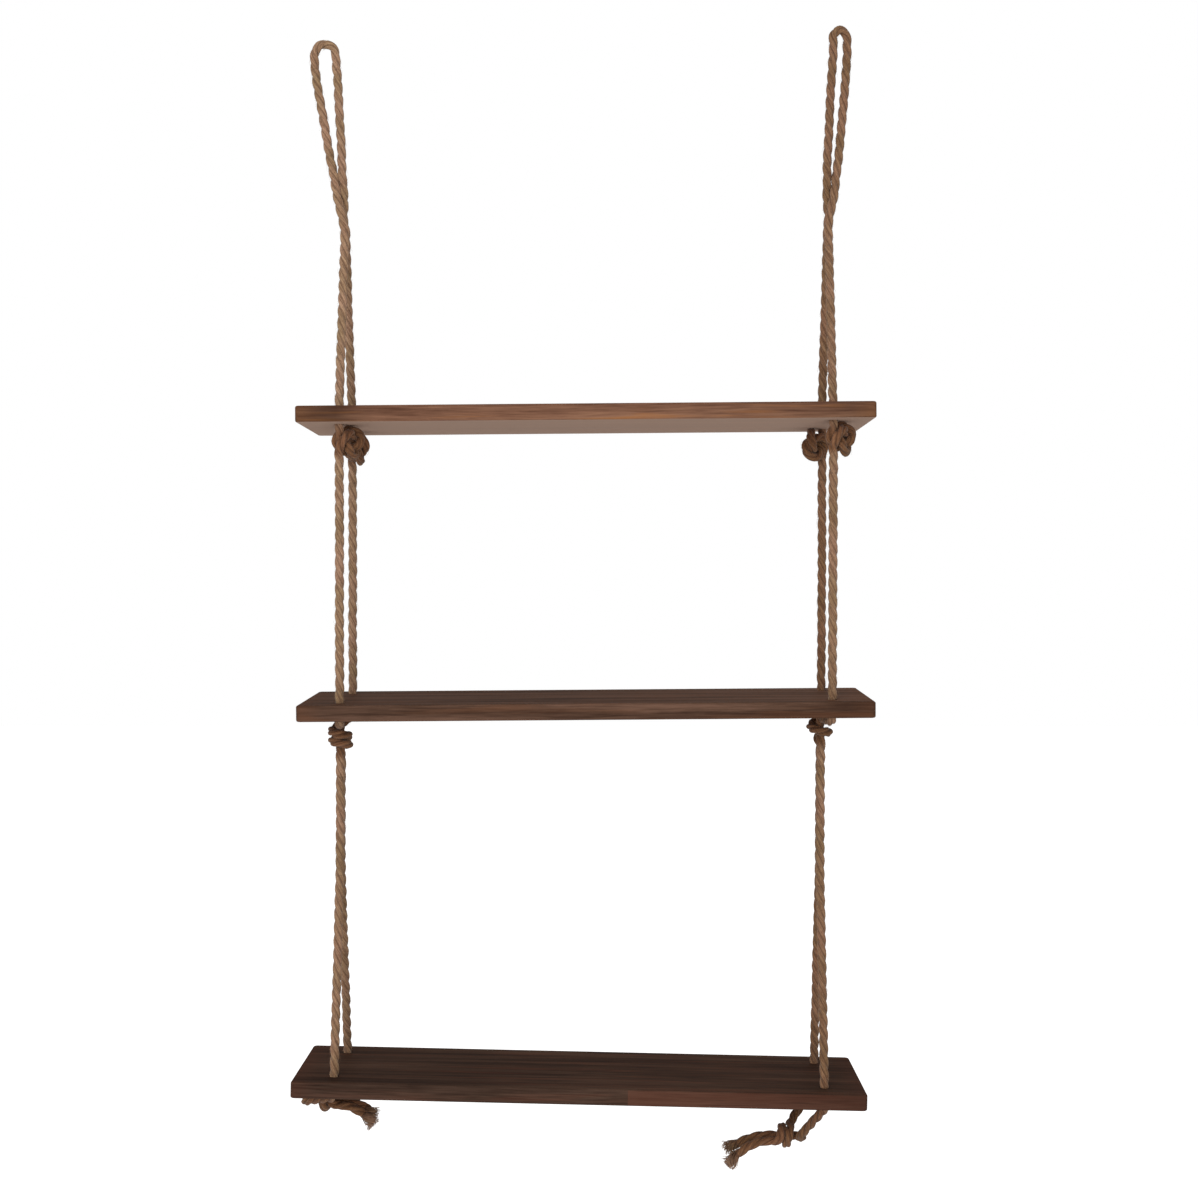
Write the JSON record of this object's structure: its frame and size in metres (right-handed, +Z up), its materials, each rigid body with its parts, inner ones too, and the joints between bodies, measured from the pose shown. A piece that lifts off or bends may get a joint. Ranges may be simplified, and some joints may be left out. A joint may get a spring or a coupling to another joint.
{
  "type": "hanging rope shelf",
  "caption": "Hanging shelf of wooden boards carried one below another by jute ropes that loop over hooks at the top and are knotted under each board.",
  "frame": {"origin": "midway between the seats of the two rope loops on their hooks", "axes": "+X along the boards to the right, +Y from the front of the shelf to its back, +Z up"},
  "size_m": [0.6074, 0.1525, 1.2192],
  "materials": {
    "board_wood": "dark stained, satin",
    "jute_rope": "matte twisted jute"
  },
  "bodies": {
    "hanging_crowns": {"left_loop_crown": "jute_rope", "right_loop_crown": "jute_rope"},
    "loop_limbs": {"left_loop_limb_front": "jute_rope", "left_loop_limb_back": "jute_rope", "right_loop_limb_front": "jute_rope", "right_loop_limb_back": "jute_rope"},
    "left_upper_legs": {"left_upper_leg_front": "jute_rope", "left_upper_leg_back": "jute_rope"},
    "right_upper_legs": {"right_upper_leg_front": "jute_rope", "right_upper_leg_back": "jute_rope"},
    "top_shelf": {"top_board": "board_wood", "left_overhand_knot_front": "jute_rope", "left_overhand_knot_back": "jute_rope", "right_overhand_knot_front": "jute_rope", "right_overhand_knot_back": "jute_rope"},
    "left_middle_legs": {"left_middle_leg_front": "jute_rope", "left_middle_leg_back": "jute_rope"},
    "right_middle_legs": {"right_middle_leg_front": "jute_rope", "right_middle_leg_back": "jute_rope"},
    "middle_shelf": {"middle_board": "board_wood", "left_middle_tie_front": "jute_rope", "left_middle_tie_back": "jute_rope", "right_middle_tie_front": "jute_rope", "right_middle_tie_back": "jute_rope"},
    "joined_runs": {"left_joined_run_front": "jute_rope", "left_joined_run_back": "jute_rope", "right_joined_run_front": "jute_rope", "right_joined_run_back": "jute_rope"},
    "left_lower_legs": {"left_lower_leg_front": "jute_rope", "left_lower_leg_back": "jute_rope"},
    "right_lower_legs": {"right_lower_leg_front": "jute_rope", "right_lower_leg_back": "jute_rope"},
    "bottom_shelf": {"bottom_board": "board_wood", "left_bottom_tie_front": "jute_rope", "left_bottom_tie_back": "jute_rope", "right_bottom_tie_front": "jute_rope", "right_bottom_tie_back": "jute_rope", "left_tail_front": "jute_rope", "left_tail_back": "jute_rope", "right_tail_front": "jute_rope", "right_tail_back": "jute_rope"}
  },
  "joints": [
    {"name": "loops_swing", "type": "hinge", "parent": "hanging_crowns", "child": "loop_limbs", "pos_m": [-0.275, 0, -0.023], "axis": [0.9997, 0, 0.0254], "range_deg": [-15, 15]},
    {"name": "left_upper_legs_swing", "type": "hinge", "parent": "loop_limbs", "child": "left_upper_legs", "pos_m": [-0.25399, -0.00004, -0.209], "axis": [0, 1, 0], "range_deg": [-15, 15]},
    {"name": "right_upper_legs_swing", "type": "hinge", "parent": "loop_limbs", "child": "right_upper_legs", "pos_m": [0.26199, 0.00004, -0.205], "axis": [0, 1, 0], "range_deg": [-15, 15]},
    {"name": "top_board_level", "type": "hinge", "parent": "left_upper_legs", "child": "top_shelf", "pos_m": [-0.25399, -0.00004, -0.395], "axis": [0, 1, 0], "range_deg": [-15, 15]},
    {"name": "left_middle_legs_swing", "type": "hinge", "parent": "top_shelf", "child": "left_middle_legs", "pos_m": [-0.25355, -0.00123, -0.45183], "axis": [0, 1, 0], "range_deg": [-15, 15]},
    {"name": "right_middle_legs_swing", "type": "hinge", "parent": "top_shelf", "child": "right_middle_legs", "pos_m": [0.26243, -0.00114, -0.44783], "axis": [0, 1, 0], "range_deg": [-15, 15]},
    {"name": "middle_board_level", "type": "hinge", "parent": "left_middle_legs", "child": "middle_shelf", "pos_m": [-0.25399, 0.00006, -0.701], "axis": [0, 1, 0], "range_deg": [-15, 15]},
    {"name": "joined_runs_swing", "type": "hinge", "parent": "middle_shelf", "child": "joined_runs", "pos_m": [-0.26045, 0.00225, -0.77092], "axis": [0.9997, -0.0008, 0.0256], "range_deg": [-15, 15]},
    {"name": "left_lower_legs_swing", "type": "hinge", "parent": "joined_runs", "child": "left_lower_legs", "pos_m": [-0.26094, 0.0021, -0.8765], "axis": [0, 1, 0], "range_deg": [-15, 15]},
    {"name": "right_lower_legs_swing", "type": "hinge", "parent": "joined_runs", "child": "right_lower_legs", "pos_m": [0.25494, 0.00198, -0.8875], "axis": [0, 1, 0], "range_deg": [-15, 15]},
    {"name": "bottom_board_level", "type": "hinge", "parent": "left_lower_legs", "child": "bottom_shelf", "pos_m": [-0.26094, 0.0021, -1.0965], "axis": [0, 1, 0], "range_deg": [-15, 15]}
  ],
  "couplings": [
    {"joint": "right_upper_legs_swing", "follows": "left_upper_legs_swing", "ratio": 1},
    {"joint": "top_board_level", "follows": "left_upper_legs_swing", "ratio": -1},
    {"joint": "right_middle_legs_swing", "follows": "left_middle_legs_swing", "ratio": 1},
    {"joint": "middle_board_level", "follows": "left_middle_legs_swing", "ratio": -1},
    {"joint": "right_lower_legs_swing", "follows": "left_lower_legs_swing", "ratio": 1},
    {"joint": "bottom_board_level", "follows": "left_lower_legs_swing", "ratio": -1}
  ]
}
